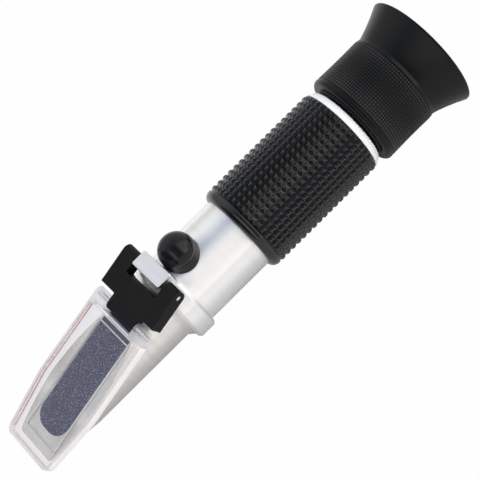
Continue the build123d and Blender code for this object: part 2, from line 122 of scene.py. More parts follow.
def eased(tree, value, start, end, low=0.0, high=1.0):
    """The same with soft ends."""
    return scaled(tree, value, start, end, low, high, "SMOOTHSTEP")


def shades(tree, value, stops):
    """Colours along a value, given as (position, (red, green, blue))."""
    made = node(tree, "ValToRGB", {"Fac": value})
    elements = made.color_ramp.elements
    while len(elements) < len(stops):
        elements.new(0.5)
    for element, (position, colour) in zip(elements, stops):
        element.position = position
        element.color = (*colour, 1)
    return made.outputs["Color"]


def blend(tree, share, first, second):
    """A mix of two colours."""
    first, second = ((*c, 1) if isinstance(c, tuple) else c for c in (first, second))
    return node(tree, "Mix", {0: share, 6: first, 7: second}, data_type="RGBA").outputs[2]


def straight_view(tree, path):
    """One for what the camera sees directly or straight through glass, else nought."""
    through = reckon(tree, "GREATER_THAN", path.outputs["Transmission Depth"], 0.5)
    bounces = reckon(tree, "ADD", path.outputs["Glossy Depth"], path.outputs["Diffuse Depth"])
    through = product(tree, through, reckon(tree, "LESS_THAN", bounces, 0.5))
    return reckon(tree, "MAXIMUM", path.outputs["Is Camera Ray"], through)


table_gap = 0.05
table_size = 3000
table_mesh = bpy.data.meshes.new("table_top")
bm = bmesh.new()
bmesh.ops.create_grid(bm, x_segments=1, y_segments=1, size=table_size / 2 * mm)
bmesh.ops.translate(bm, vec=(0, 0, cad_box[0].z - table_gap * mm), verts=bm.verts)
bm.to_mesh(table_mesh)
bm.free()
table_top = bpy.data.objects.new("table_top", table_mesh)
bpy.context.scene.collection.objects.link(table_top)

# White to the camera but for a trace of the object's shadow, a shade darker through the clear
# cover, and for the metal a dull board near the object that brightens away from it, a painted
# shade in the reflections near the object.
white_share = 0.985
mirror_share = 0.96
table_paint = bpy.data.materials.new("white_table")
table_paint.use_nodes = True
tree = table_paint.node_tree
board = tree.nodes["Principled BSDF"]
board.inputs["Base Color"].default_value = (0.54, 0.54, 0.54, 1)
board.inputs["Roughness"].default_value = 0.9
board.inputs["Specular IOR Level"].default_value = 0.1
path = node(tree, "LightPath")
straight = straight_view(tree, path)
from_barrel = node(tree, "SeparateXYZ", {0: node(tree, "TexCoord").outputs["Object"]}).outputs["Y"]
from_barrel = reckon(tree, "ABSOLUTE", from_barrel)
# painted shade: near the object the metal reflects the darker board instead of the white glow
distant = scaled(tree, from_barrel, 0.008, 0.06, 0.0, mirror_share)
mirrored = product(tree, path.outputs["Is Glossy Ray"], distant)
veil = reckon(tree, "MAXIMUM", product(tree, straight, white_share), mirrored)
layers = reckon(
    tree, "ADD", path.outputs["Transmission Depth"], path.outputs["Transparent Depth"]
)
through_cover = product(tree, reckon(tree, "GREATER_THAN", layers, 0.5), straight)
tone = blend(tree, through_cover, (1, 1, 1), (0.80, 0.785, 0.825))
glow = node(tree, "Emission", {"Color": tone, "Strength": 1.0})
shown = node(tree, "MixShader", {0: veil, 1: board.outputs[0], 2: glow.outputs[0]})
tree.links.new(shown.outputs[0], tree.nodes["Material Output"].inputs["Surface"])
table_mesh.materials.append(table_paint)

# The room's colours run from the horizon in front (0) over the top (0.5) to the one behind (1).
room_light = 2.06
room = bpy.data.worlds.new("white_room")
bpy.context.scene.world = room
room.use_nodes = True
tree = room.node_tree
parts = node(tree, "SeparateXYZ", {0: node(tree, "TexCoord").outputs["Generated"]})
across = parts.outputs["X"]
lift = reckon(tree, "ARCTAN2", parts.outputs["Z"], product(tree, parts.outputs["Y"], -1.0))
lift = reckon(tree, "DIVIDE", lift, math.pi)
walls = shades(
    tree,
    lift,
    [
        (0.0, (0.34, 0.33, 0.32)),
        (0.10, (1.0, 0.965, 0.93)),
        (0.36, (1.0, 0.97, 0.94)),
        (0.50, (0.65, 0.67, 0.69)),
        (0.563, (0.300, 0.336, 0.383)),
        (0.580, (0.300, 0.336, 0.383)),
        (0.674, (0.425, 0.443, 0.468)),
        (0.72, (0.46, 0.472, 0.498)),
        (0.82, (0.475, 0.475, 0.472)),
        (1.0, (0.29, 0.29, 0.29)),
    ],
)
walls = node(tree, "VectorMath", {0: walls, "Scale": room_light}, operation="SCALE").outputs[0]

# the dim space behind the camera, a bright window to the right of it, and the dark left end
beside = eased(tree, distance_to(tree, across, -0.10), 0.27, 0.46, 1.0, 0.0)
below = eased(tree, lift, 0.50, 0.60, 1.0, 0.0)
above_horizon = eased(tree, lift, 0.02, 0.10)
dim = product(tree, beside, below, above_horizon)
dim_colour = shades(
    tree, lift, [(0.0, (0.34, 0.28, 0.28)), (0.12, (0.26, 0.26, 0.28)), (0.45, (0.22, 0.27, 0.40))]
)
walls = blend(tree, dim, walls, dim_colour)
window_width = eased(tree, distance_to(tree, across, 0.58), 0.14, 0.20, 1.0, 0.0)
window_height = eased(tree, distance_to(tree, lift, 0.07), 0.04, 0.06, 1.0, 0.0)
walls = blend(tree, product(tree, window_width, window_height), walls, (2.9, 2.9, 2.84))
left_end = eased(tree, across, -0.62, -0.78)
walls = blend(tree, left_end, walls, (0.16, 0.16, 0.18))
sky = blend(tree, straight_view(tree, node(tree, "LightPath")), walls, (1, 1, 1))
tree.links.new(sky, tree.nodes["Background"].inputs["Color"])
tree.nodes["Background"].inputs["Strength"].default_value = 1.0

lamps = {
    "front_softbox": ((-0.25, -0.55, 0.5), 0.5, 1.6),
    "back_softbox": ((0.1, 0.6, 0.45), 0.5, 0.9),
}
for name, (place, size, watts) in lamps.items():
    lamp = bpy.data.lights.new(name, "AREA")
    lamp.shape = "SQUARE"
    lamp.size = size
    lamp.energy = watts
    lamp_object = bpy.data.objects.new(name, lamp)
    lamp_object.location = place
    lamp_object.rotation_euler = Vector(place).to_track_quat("Z", "Y").to_euler()
    lamp_object.visible_glossy = False
    bpy.context.scene.collection.objects.link(lamp_object)


# The nose: a turned aluminium housing with its sloped face ground flat for the prism, screwed
# to a clamp ring. Both are machined bright and then blasted to a fine satin.
nose_x = -63.499
nose_z = -4.8975
slope = math.radians(17.5)
sloped_face = Matrix.Translation((nose_x, 0, nose_z)) @ Matrix.Rotation(-slope, 4, "Y")


def effect(name, inputs, outputs):
    """An empty node group with its sockets; returns the tree, its inputs and its outputs node."""
    tree = bpy.data.node_groups.new(name, "ShaderNodeTree")
    for label, kind, value in inputs:
        socket = tree.interface.new_socket(
            label, in_out="INPUT", socket_type="NodeSocket" + kind
        )
        if value is not None:
            socket.default_value = value
    for label, kind in outputs:
        tree.interface.new_socket(label, in_out="OUTPUT", socket_type="NodeSocket" + kind)
    return tree, tree.nodes.new("NodeGroupInput"), tree.nodes.new("NodeGroupOutput")


def noise(tree, place, scale, detail):
    """The value of a Noise Texture."""
    inputs = {"Vector": place, "Scale": scale, "Detail": detail}
    return node(tree, "TexNoise", inputs).outputs["Fac"]


# fine lines that a lathe tool leaves round the barrel's axis
turning, given, made = effect(
    "turning_marks",
    [("Place", "Vector", None), ("Fineness", "Float", 5000.0)],
    [("Height", "Float"), ("Shade", "Float")],
)
stretched = {0: given.outputs["Place"], 1: (1, 0.02, 0.02)}
stretched = node(turning, "VectorMath", stretched, operation="MULTIPLY").outputs[0]
fineness = given.outputs["Fineness"]
turning.links.new(noise(turning, stretched, fineness, 3.0), made.inputs["Height"])
broad = noise(turning, stretched, product(turning, fineness, 0.12), 2.0)
turning.links.new(broad, made.inputs["Shade"])

# edges painted brighter, partly as wear and partly as a painted highlight where they catch the
# light: how far a point is from a sharp corner, broken up by noise
edges, given, made = effect(
    "worn_and_lit_edges",
    [("Place", "Vector", None), ("Width", "Float", 0.0003)],
    [("Mask", "Float"), ("Normal", "Vector")],
)
rounded = node(edges, "Bevel", {"Radius": given.outputs["Width"]}, samples=6).outputs[0]
flat = node(edges, "NewGeometry").outputs["Normal"]
near = node(edges, "VectorMath", {0: rounded, 1: flat}, operation="DOT_PRODUCT").outputs["Value"]
turned_away = reckon(edges, "SUBTRACT", 1.0, near)
patchy = scaled(edges, noise(edges, given.outputs["Place"], 900.0, 3.0), 0.35, 0.65)
mask = node(edges, "Clamp", {0: product(edges, turned_away, 9.0, patchy)}).outputs[0]
edges.links.new(mask, made.inputs["Mask"])
edges.links.new(rounded, made.inputs["Normal"])

# the even grain of blasted metal, moulded plastic or frosted glass
grain, given, made = effect(
    "fine_grain",
    [("Place", "Vector", None), ("Fineness", "Float", 4000.0)],
    [("Height", "Float"), ("Shade", "Float")],
)
dots = noise(grain, given.outputs["Place"], given.outputs["Fineness"], 2.0)
cloud = noise(grain, given.outputs["Place"], 140.0, 3.0)
grain.links.new(dots, made.inputs["Height"])
grain.links.new(cloud, made.inputs["Shade"])


def finish_named(name, roughness, **constants):
    """A material with these constants on its shader."""
    made = bpy.data.materials.new(name)
    made.use_nodes = True
    shader = made.node_tree.nodes["Principled BSDF"]
    shader.inputs["Roughness"].default_value = roughness
    for key, value in constants.items():
        shader.inputs[key.replace("_", " ")].default_value = value
    return made


def inside(finish):
    """A material's tree, its shader and the Object coordinates."""
    tree = finish.node_tree
    return tree, tree.nodes["Principled BSDF"], node(tree, "TexCoord").outputs["Object"]


def feeding(shader, label):
    """What is linked to an input of a shader."""
    return shader.inputs[label].links[0].from_socket


def dress(finish, *nodes):
    """Give CAD nodes this material."""
    for name in nodes:
        for material_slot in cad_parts[name].material_slots:
            material_slot.material = finish


def turned_metal(name, light, dark, roughness, fineness, marks, edge_width=0.00035):
    """Turned aluminium: lathe lines round the axis, a slight unevenness and edges painted
    brighter, partly wear and partly painted highlight.
    """
    finish = finish_named(
        name, roughness, Metallic=1.0, Anisotropic=0.9, Anisotropic_Rotation=0.25
    )
    tree, shader, place = inside(finish)
    lines = {"Place": place, "Fineness": fineness}
    lines = node(tree, "Group", lines, node_tree=turning).outputs
    wear_and_glint = node(tree, "Group", {"Place": place, "Width": edge_width}, node_tree=edges).outputs
    body = shades(tree, lines["Shade"], [(0.3, dark), (0.7, light)])
    # painted highlight and wear: the edges are blended towards near-white
    colour = blend(tree, wear_and_glint["Mask"], body, (0.97, 0.97, 0.97))
    tree.links.new(colour, shader.inputs["Base Color"])
    rough = scaled(tree, lines["Height"], 0.3, 0.7, roughness - 0.05, roughness + 0.06)
    tree.links.new(rough, shader.inputs["Roughness"])
    bump = {"Height": lines["Height"], "Normal": wear_and_glint["Normal"]}
    bump = node(tree, "Bump", bump | {"Strength": marks, "Distance": 0.00002})
    tree.links.new(bump.outputs[0], shader.inputs["Normal"])
    tangent = node(tree, "Tangent", direction_type="RADIAL", axis="X")
    tree.links.new(tangent.outputs[0], shader.inputs["Tangent"])
    return finish


satin = turned_metal(
    "satin_aluminium", (0.91, 0.908, 0.903), (0.86, 0.858, 0.852), 0.36, 5000.0, 0.25
)
dress(satin, "hinge_ring")

ground = turned_metal(
    "ground_aluminium", (0.82, 0.80, 0.77), (0.76, 0.735, 0.71), 0.38, 5000.0, 0.25
)
tree, shader, place = inside(ground)
up_face = sloped_face.to_3x3() @ Vector((0, 0, 1))
facing = {0: node(tree, "NewGeometry").outputs["True Normal"], 1: up_face}
facing = node(tree, "VectorMath", facing, operation="DOT_PRODUCT").outputs["Value"]
on_face = reckon(tree, "GREATER_THAN", facing, 0.995)
speckle = node(tree, "Group", {"Place": place, "Fineness": 3500.0}, node_tree=grain)
matt = [(0.35, (0.86, 0.825, 0.78)), (0.65, (1.0, 0.97, 0.92))]
matt = shades(tree, speckle.outputs["Height"], matt)
colour = blend(tree, on_face, feeding(shader, "Base Color"), matt)
tree.links.new(colour, shader.inputs["Base Color"])
rough = {0: on_face, 2: feeding(shader, "Roughness"), 3: 0.5}
rough = node(tree, "Mix", rough, data_type="FLOAT").outputs[0]
tree.links.new(rough, shader.inputs["Roughness"])
dress(ground, "prism_housing")


# The lug that stands up from the ring for the hinge pin: milled from the same piece, its corners
# rounded and its edges broken, and left brighter than the blasted ring.
def sharp_edges(bm, degrees):
    """The edges of a mesh at which its faces turn by more than this."""
    limit = math.radians(degrees)
    return [e for e in bm.edges if len(e.link_faces) == 2 and e.calc_face_angle(0) > limit]


def upright_edges(bm):
    """The edges of a box that stand up."""
    return [e for e in bm.edges if abs(e.verts[0].co.z - e.verts[1].co.z) > 0.1]


def round_off(bm, chosen, width, segments):
    """Break these edges with small rounds."""
    bmesh.ops.bevel(bm, geom=chosen, offset=width, segments=segments, profile=0.5, affect="EDGES",
                    clamp_overlap=True, material=-1)


def box(low, high):
    """A box between two corners."""
    bm = bmesh.new()
    low, high = Vector(low), Vector(high)
    bmesh.ops.create_cube(bm, size=1)
    bmesh.ops.scale(bm, vec=high - low, verts=bm.verts)
    bmesh.ops.translate(bm, vec=(low + high) / 2, verts=bm.verts)
    return bm


def new_piece(name, bm, place, finish, body, smooth_angle=38):
    """Turn a finished mesh, in millimetres, into a piece that rides on a body."""
    bmesh.ops.transform(bm, matrix=Matrix.Scale(mm, 4) @ place, verts=bm.verts)
    bmesh.ops.recalc_face_normals(bm, faces=bm.faces)
    mesh = bpy.data.meshes.new(name)
    bm.to_mesh(mesh)
    bm.free()
    mesh.shade_smooth()
    mesh.set_sharp_from_angle(angle=math.radians(smooth_angle))
    mesh.materials.append(finish)
    piece = bpy.data.objects.new(name, mesh)
    bpy.context.scene.collection.objects.link(piece)
    weigh = piece.modifiers.new("even_shading", "WEIGHTED_NORMAL")
    weigh.keep_sharp = True
    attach(piece, body)
    return piece


lug_front = -5.75
lug_back = -0.35
lug_half_width = 6.5
lug_low = 13.2
lug_top = 18.19
lug_corner = 0.55
lug_edge = 0.3
lug_end = 0.6
lug_end_slope = 0.35
bm = box((lug_front, -lug_half_width, lug_low), (lug_back, lug_half_width, lug_top))
round_off(bm, upright_edges(bm), lug_corner, 4)
rim = [e for e in bm.edges if min(v.co.z for v in e.verts) > lug_top - 0.01]
round_off(bm, rim, lug_edge, 3)
for v in bm.verts:
    past_end = abs(v.co.y) - lug_half_width + lug_end
    if v.co.z > lug_top - 0.5 and past_end > 0:
        v.co.z -= lug_end_slope * past_end
milled = turned_metal(
    "milled_aluminium", (0.80, 0.80, 0.81), (0.76, 0.76, 0.77), 0.36, 5000.0, 0.25
)
new_piece("hinge_lug", bm, Matrix.Identity(4), milled, "barrel")


# The prism: an optical glass wedge, polished, bedded in dark cement in the housing's pocket.
# It looks nearly black, because what enters it leaves towards the dark tube; its glass is painted
# dark blue, a painted shade for that.
def mottled(name, roughness, fineness, dark, light, **constants):
    """A finish whose colour wanders a little; returns it with its fine grain."""
    finish = finish_named(name, roughness, **constants)
    tree, shader, place = inside(finish)
    skin = node(tree, "Group", {"Place": place, "Fineness": fineness}, node_tree=grain).outputs
    tone = shades(tree, skin["Shade"], [(0.3, dark), (0.7, light)])
    tree.links.new(tone, shader.inputs["Base Color"])
    return finish, skin["Height"]


# painted shade: the glass is coloured dark blue for the dark that is seen through it
prism, _ = mottled(
    "prism_glass", 0.02, 1500.0, (0.012, 0.020, 0.115), (0.020, 0.030, 0.155),
    IOR=1.52, Transmission_Weight=0.2, Specular_IOR_Level=0.15,
)
dress(prism, "main_prism")
cement, _ = mottled("optical_cement", 0.5, 900.0, (0.03, 0.05, 0.20), (0.06, 0.08, 0.26))
dress(cement, "prism_cement")

# The blackened metal parts: light stop, lens rings, spacer and the eyepiece's threaded barrel,
# turned from aluminium and dyed matt black so that they throw no light back.
black = finish_named("black_metal", 0.42, Specular_IOR_Level=0.4)
tree, shader, place = inside(black)
lines = {"Place": place, "Fineness": 4000.0}
lines = node(tree, "Group", lines, node_tree=turning).outputs
wear_and_glint = node(tree, "Group", {"Place": place, "Width": 0.0002}, node_tree=edges).outputs
tone = [(0.3, (0.008, 0.008, 0.009)), (0.7, (0.014, 0.014, 0.015))]
tone = shades(tree, lines["Shade"], tone)
# painted highlight and wear: the black edges are blended towards a lighter grey
colour = blend(tree, wear_and_glint["Mask"], tone, (0.06, 0.06, 0.065))
tree.links.new(colour, shader.inputs["Base Color"])
bump = {"Height": lines["Height"], "Normal": wear_and_glint["Normal"]}
bump = node(tree, "Bump", bump | {"Strength": 0.3, "Distance": 0.00002})
tree.links.new(bump.outputs[0], shader.inputs["Normal"])
dress(
    black, "light_stop", "eyepiece_barrel", "lens_spacer", "eye_lens_ring", "objective_ring",
    "reticle_cell", "reticle_clamp_ring",
)

# The hinge: a black moulded block that clasps the lug with two cheeks and holds the cover with
# its arm. It turns on a ground steel pin through the lug; a second pin carries the cover.
pin_height = 1.45
hinge_distance = 63.2
cover_pin_distance = 48.1
pin_one = (hinge_distance, pin_height)
pin_two = (cover_pin_distance, pin_height)
block_front = 51.5
block_low = -0.55
block_top = 3.45
block_half_width = 12.8
block_edge = 0.28
arm_half_width = 6.2
arm_r = 1.75
cheek_inner = 7.1
notch_s = 58.55
seat = 0.25
hinge_hole_r = 0.84
arm_hole_r = 0.75


def side_ring(bm, outline, hole, hole_r, y, steps):
    """One side wall of an eye round a pin: an outline joined to a round hole."""
    outer = [bm.verts.new((s, y, n)) for s, n in outline]
    inner = []
    for k in range(steps):
        turn = 2 * math.pi * k / steps
        s, n = hole[0] + hole_r * math.cos(turn), hole[1] + hole_r * math.sin(turn)
        inner.append(bm.verts.new((s, y, n)))
    loops = []
    for loop in (outer, inner):
        loops += [bm.edges.new((a, b)) for a, b in zip(loop, loop[1:] + loop[:1])]
    return bmesh.ops.bridge_loops(bm, edges=loops)["faces"]


def extruded(bm, faces, along):
    """Extrude faces into a closed form."""
    grown = bmesh.ops.extrude_face_region(bm, geom=faces, use_keep_orig=True)["geom"]
    moved = [v for v in grown if isinstance(v, bmesh.types.BMVert)]
    bmesh.ops.translate(bm, vec=along, verts=moved)


def eye(bm, outline, hole, hole_r, low_y, high_y, steps=24):
    """A plate round a pin hole, between two sides."""
    wall = side_ring(bm, outline, hole, hole_r, low_y, steps)
    extruded(bm, wall, (0, high_y - low_y, 0))


def arc(centre, radius, start, end, steps):
    """Points on an arc, from one angle to another in degrees."""
    points = []
    for k in range(steps + 1):
        turn = math.radians(start + (end - start) * k / steps)
        points.append((centre[0] + radius * math.cos(turn), centre[1] + radius * math.sin(turn)))
    return points


def open_joint(bm, s):
    """Remove the inner faces where two forms have been joined, this far up the slope."""
    inner = []
    for face in bm.faces:
        crossed = sum(len(e.link_faces) > 2 for e in face.edges)
        if crossed > 2 and all(abs(v.co.x - s) < 1e-3 for v in face.verts):
            inner.append(face)
    bmesh.ops.delete(bm, geom=inner, context="FACES")


def in_order(bm):
    """Build a mesh anew in one fixed order, because operators leave its parts in any order."""
    slant = Vector((1.0, 0.7310585, 0.4142135))  # along it no two corners are level
    verts = sorted(bm.verts, key=lambda v: v.co.dot(slant))
    rank = {v: k for k, v in enumerate(verts)}
    outlines = []
    for face in bm.faces:
        ring = [rank[v] for v in face.verts]
        first = ring.index(min(ring))
        outlines.append(ring[first:] + ring[:first])
    places = [v.co.copy() for v in verts]
    bm.clear()
    made = [bm.verts.new(place) for place in places]
    for ring in sorted(outlines):
        bm.faces.new([made[k] for k in ring])
    bm.normal_update()


def settle(bm, degrees):
    """Turn a mesh's faces outwards and merge those that lie in one plane."""
    bmesh.ops.recalc_face_normals(bm, faces=bm.faces)
    in_order(bm)
    limit = math.radians(degrees)
    bmesh.ops.dissolve_limit(bm, angle_limit=limit, verts=bm.verts, edges=bm.edges)


# the bar across the front, relieved underneath by the height of the seat along the arm
bm = bmesh.new()
columns = []
for y in (-block_half_width, -cheek_inner, -arm_half_width,
          arm_half_width, cheek_inner, block_half_width):
    columns.append([bm.verts.new((block_front, y, n)) for n in (block_low, seat, block_top)])
front_faces = []
for left, right in zip(columns, columns[1:]):
    front_faces.append(bm.faces.new((left[1], right[1], right[2], left[2])))
    if max(abs(left[0].co.y), abs(right[0].co.y)) > arm_half_width + 0.1:
        front_faces.append(bm.faces.new((left[0], right[0], right[1], left[1])))
loose = [v for v in bm.verts if not v.link_faces]
bmesh.ops.delete(bm, geom=loose, context="VERTS")
extruded(bm, front_faces, (notch_s - block_front, 0, 0))

# the two cheeks and the arm, each an eye round its pin
cheek = [(notch_s, block_low)] + arc(pin_one, (block_top - block_low) / 2, -90, 90, 16)
cheek += [(notch_s, block_top), (notch_s, seat)]
for low_y, high_y in ((cheek_inner, block_half_width), (-block_half_width, -cheek_inner)):
    eye(bm, cheek, pin_one, hinge_hole_r, low_y, high_y)
arm = [(block_front, block_top), (cover_pin_distance, block_top)]
arm += arc((cover_pin_distance, block_top - arm_r), arm_r, 90, 270, 14)[1:]
arm[-1] = (arm[-1][0], seat)
arm += [(block_front, seat)]
eye(bm, arm, pin_two, arm_hole_r, -arm_half_width, arm_half_width)
bmesh.ops.remove_doubles(bm, verts=bm.verts, dist=0.002)
open_joint(bm, notch_s)
open_joint(bm, block_front)
settle(bm, 1)
round_off(bm, sharp_edges(bm, 40), block_edge, 3)


def bumpy(finish, height, strength, depth=0.00002):
    """Give a finish the relief of its grain."""
    tree, shader, _ = inside(finish)
    bump = node(tree, "Bump", {"Height": height, "Strength": strength, "Distance": depth})
    tree.links.new(bump.outputs[0], shader.inputs["Normal"])


nylon, height = mottled(
    "black_nylon", 0.5, 6000.0, (0.003, 0.003, 0.003), (0.005, 0.005, 0.005),
    Specular_IOR_Level=0.16,
)
tree, shader, place = inside(nylon)
wear_and_glint = node(tree, "Group", {"Place": place, "Width": 0.0002}, node_tree=edges).outputs
# painted highlight and wear: the block's edges are blended towards a lighter black
colour = blend(tree, wear_and_glint["Mask"], feeding(shader, "Base Color"), (0.03, 0.03, 0.03))
tree.links.new(colour, shader.inputs["Base Color"])
bumpy(nylon, height, 0.35)
block = new_piece("moulded_block", bm, sloped_face, nylon, "hinge_arm")
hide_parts("hinge_block")


# The pins: ground steel rod, cut to length with a small round at each end and pressed in. The
# barrel's small screws and the rocker's pin are of the same steel.
def pin_piece(name, centre, radius, half_length, body, node_name):
    """A steel pin across the instrument, its ends broken with a small round."""
    bm = bmesh.new()
    bmesh.ops.create_cone(
        bm, cap_ends=True, segments=32, radius1=radius, radius2=radius, depth=2 * half_length
    )
    across = Matrix.Rotation(math.pi / 2, 3, "X")
    bmesh.ops.rotate(bm, cent=(0, 0, 0), matrix=across, verts=bm.verts)
    bmesh.ops.translate(bm, vec=(centre[0], 0, centre[1]), verts=bm.verts)
    round_off(bm, sharp_edges(bm, 40), 0.08, 2)
    piece = new_piece(name, bm, sloped_face, steel, body)
    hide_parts(node_name)


pin_half_length = 12.6
steel, height = mottled(
    "ground_steel", 0.25, 5000.0, (0.76, 0.76, 0.76), (0.86, 0.855, 0.85), Metallic=1.0
)
tree, shader, _ = inside(steel)
tree.links.new(scaled(tree, height, 0.0, 1.0, 0.18, 0.34), shader.inputs["Roughness"])
pin_piece("hinge_pin_steel", pin_one, 0.78, pin_half_length, "barrel", "hinge_pin")
pin_piece("cover_pin_steel", pin_two, 0.73, pin_half_length, "hinge_arm", "cover_pin")
dress(steel, "calibration_screw", "frame_screws", "rocker_pin", "strip_screws")

# The cover: a clear acrylic tray, injection moulded with a raised rim that also reaches down a
# little round its floor, a low cross wall and two round ears for the pin.
cover_low = 0.15
cover_under = 0.45
cover_top = 3.1
cover_floor = 1.75
cover_wall = 1.0
cover_skirt = 0.5
cover_nose = -2.3
cover_back = 45.4
cover_corner = 2.0
cover_edge = 0.16
ear_inner = 6.55
ear_outer = 12.827
ear_r = 1.8
ear_hole_r = 0.79
plan = [(cover_nose, -10.4), (cover_nose, 10.4), (18.0, 13.1), (cover_back, ear_outer),
        (cover_back, ear_inner), (cover_back, -ear_inner), (cover_back, -ear_outer), (18.0, -13.1)]
bm = bmesh.new()
base = bm.faces.new([bm.verts.new((s, y, cover_low)) for s, y in plan])
extruded(bm, [base], (0, 0, cover_top - cover_low))
corners = [e for e in upright_edges(bm) if all(v.co.x < cover_nose + 0.1 for v in e.verts)]
round_off(bm, corners, cover_corner, 6)


def hollowed(bm, side, wall, depth):
    """Sink the upper (1) or lower (-1) face of a plate, inside a rim this wide."""
    def height(face):
        return side * face.calc_center_median().z

    outer = max(bm.faces, key=height)
    level = height(outer) - 0.01
    bmesh.ops.inset_region(bm, faces=[outer], thickness=wall, use_even_offset=True)
    inner = max((f for f in bm.faces if height(f) > level), key=lambda f: f.calc_area())
    sunk = bmesh.ops.extrude_discrete_faces(bm, faces=[inner])["faces"]
    bmesh.ops.translate(bm, vec=(0, 0, -side * depth), verts=sunk[0].verts)


hollowed(bm, 1, cover_wall, cover_top - cover_floor)
hollowed(bm, -1, cover_skirt, cover_under - cover_low)
low_turn = math.degrees(math.asin((cover_low - pin_height) / ear_r))
top_turn = math.degrees(math.asin((cover_top - pin_height) / ear_r))
ear = [(cover_back, cover_low)] + arc(pin_two, ear_r, -180 - low_turn, 180 - top_turn, 28)
ear += [(cover_back, cover_top)]
for low_y, high_y in ((ear_inner, ear_outer), (-ear_outer, -ear_inner)):
    eye(bm, ear, pin_two, ear_hole_r, low_y, high_y)
bmesh.ops.remove_doubles(bm, verts=bm.verts, dist=0.002)
open_joint(bm, cover_back)
settle(bm, 0.5)
round_off(bm, sharp_edges(bm, 40), cover_edge, 2)

# The floor refracts as clear glass does. The narrow walls are partly see-through instead, their
# colour painted light for what
# real acrylic pipes into its edges: grey-white, whiter on the near side, and pinkish in the
# rounds, deeper on the far side.
piped_light_greys = (0.74, 0.73, 0.76), (0.84, 0.83, 0.85)
acrylic, _ = mottled(
    "clear_acrylic", 0.02, 900.0, (0.985, 0.985, 0.985), (1.0, 1.0, 1.0),
    IOR=1.49, Transmission_Weight=1.0, Specular_IOR_Level=0.15,
)
walls_finish, _ = mottled("acrylic_edges", 0.05, 900.0, *piped_light_greys, IOR=1.49, Alpha=0.45)
ears_finish, _ = mottled("acrylic_ears", 0.05, 900.0, *piped_light_greys, IOR=1.49, Alpha=0.2)
sides_finish, _ = mottled(
    "acrylic_sides", 0.3, 900.0, (0.94, 0.925, 0.92), (1.0, 0.985, 0.98), IOR=1.49, Alpha=0.8
)
rounds_finish = finish_named("acrylic_rounds", 0.3, IOR=1.49, Alpha=0.85)
tree, shader, place = inside(rounds_finish)
across = node(tree, "SeparateXYZ", {0: place}).outputs["Y"]
far_side = scaled(tree, across, 0.0085, 0.0105)
# painted light: the rounds are tinted pink, deeper red towards the far side
piped_light_tint = blend(tree, far_side, (0.78, 0.60, 0.57), (0.50, 0.22, 0.18))
tree.links.new(piped_light_tint, shader.inputs["Base Color"])
cover_finishes = [acrylic, walls_finish, sides_finish, rounds_finish, ears_finish]


def cover_finish(face):
    """Which of the cover's finishes a face takes."""
    middle = face.calc_center_median()
    lengths = [e.calc_length() for e in face.edges]
    if abs(face.normal.z) > 0.99 and face.calc_area() > 200:
        return acrylic
    if min(lengths) < 0.15 and max(lengths) > 2.0:
        return rounds_finish
    if middle.x > cover_back + 0.1:
        return ears_finish
    # painted light: faces on the near side and the cross wall take the whiter, more opaque finish
    facing_near = abs(face.normal.z) < 0.3 and face.normal.y < 0.1 and middle.y < -8.2
    if facing_near and (face.calc_area() > 5 or middle.x < cover_nose + cover_corner + 0.1):
        return sides_finish
    if middle.x > cover_back - cover_wall - 0.2 and abs(middle.y) < ear_inner + 0.2:
        return sides_finish
    return walls_finish


for face in bm.faces:
    face.material_index = cover_finishes.index(cover_finish(face))
cover = new_piece("clear_cover", bm, sloped_face, acrylic, "cover")
for finish in cover_finishes[1:]:
    cover.data.materials.append(finish)
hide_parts("cover_plate")

# The pad: a thin step moulded under the cover's floor and frosted with fine specks, which spreads
# the drop of liquid and lets the prism show between them. Its plain border is painted whiter, a
# painted highlight along the step's edge.
pad_low = 0.15
pad_high = cover_under - 0.02
pad_start = 2.6
pad_end = 42.3
pad_half_width = 7.5
pad_corner = 0.5
pad_border = 0.4
speck_density = 2500.0
bm = box((pad_start, -pad_half_width, pad_low), (pad_end, pad_half_width, pad_high))
round_off(bm, upright_edges(bm), pad_corner, 4)
lids = [f for f in bm.faces if abs(f.normal.z) > 0.9]
bmesh.ops.inset_individual(bm, faces=lids, thickness=pad_border, depth=0.0, use_even_offset=True)
for face in bm.faces:
    face.material_index = 0 if face in lids else 1
frost, _ = mottled("frosted_pad", 0.6, 2500.0, (0.60, 0.595, 0.63), (0.72, 0.715, 0.74))
tree, shader, place = inside(frost)
specks = node(tree, "TexVoronoi", {"Vector": place, "Scale": speck_density})
chosen = node(tree, "SeparateColor", {0: specks.outputs["Color"]}).outputs[0]
size = scaled(tree, chosen, 0.2, 1.0, 0.08, 0.28)
within = reckon(tree, "SUBTRACT", size, specks.outputs["Distance"])
tree.links.new(reckon(tree, "GREATER_THAN", within, 0.0), shader.inputs["Alpha"])
# painted highlight: the border is near-white and almost opaque
lit_border, _ = mottled(
    "pad_step", 0.4, 2500.0, (0.95, 0.93, 0.93), (1.0, 0.985, 0.98), Alpha=0.95
)
pad = new_piece("frosted_pad", bm, sloped_face, frost, "cover")
pad.data.materials.append(lit_border)

# The barrel: drawn aluminium tube, turned bright between the hinge ring and the grip, with a
# brass bush for the calibration screw. Brass also makes the lens frame, rocker and lens cell.
bright = turned_metal(
    "turned_aluminium", (0.97, 0.965, 0.955), (0.93, 0.925, 0.915), 0.40, 6000.0, 0.2
)
dress(bright, "barrel_tube")
brass = turned_metal("brass", (0.80, 0.62, 0.33), (0.70, 0.53, 0.27), 0.3, 5000.0, 0.3)
dress(brass, "screw_bush", "lens_frame", "rocker_arm", "objective_cell")

# The strip and the spring: rolled steel, the strip in two bonded layers that bend with the
# temperature, the spring wound to hold the rocker against the screw.
spring, _ = mottled(
    "spring_steel", 0.3, 5000.0, (0.42, 0.42, 0.45), (0.55, 0.55, 0.56), Metallic=1.0
)
dress(spring, "bimetal_strip", "return_spring")

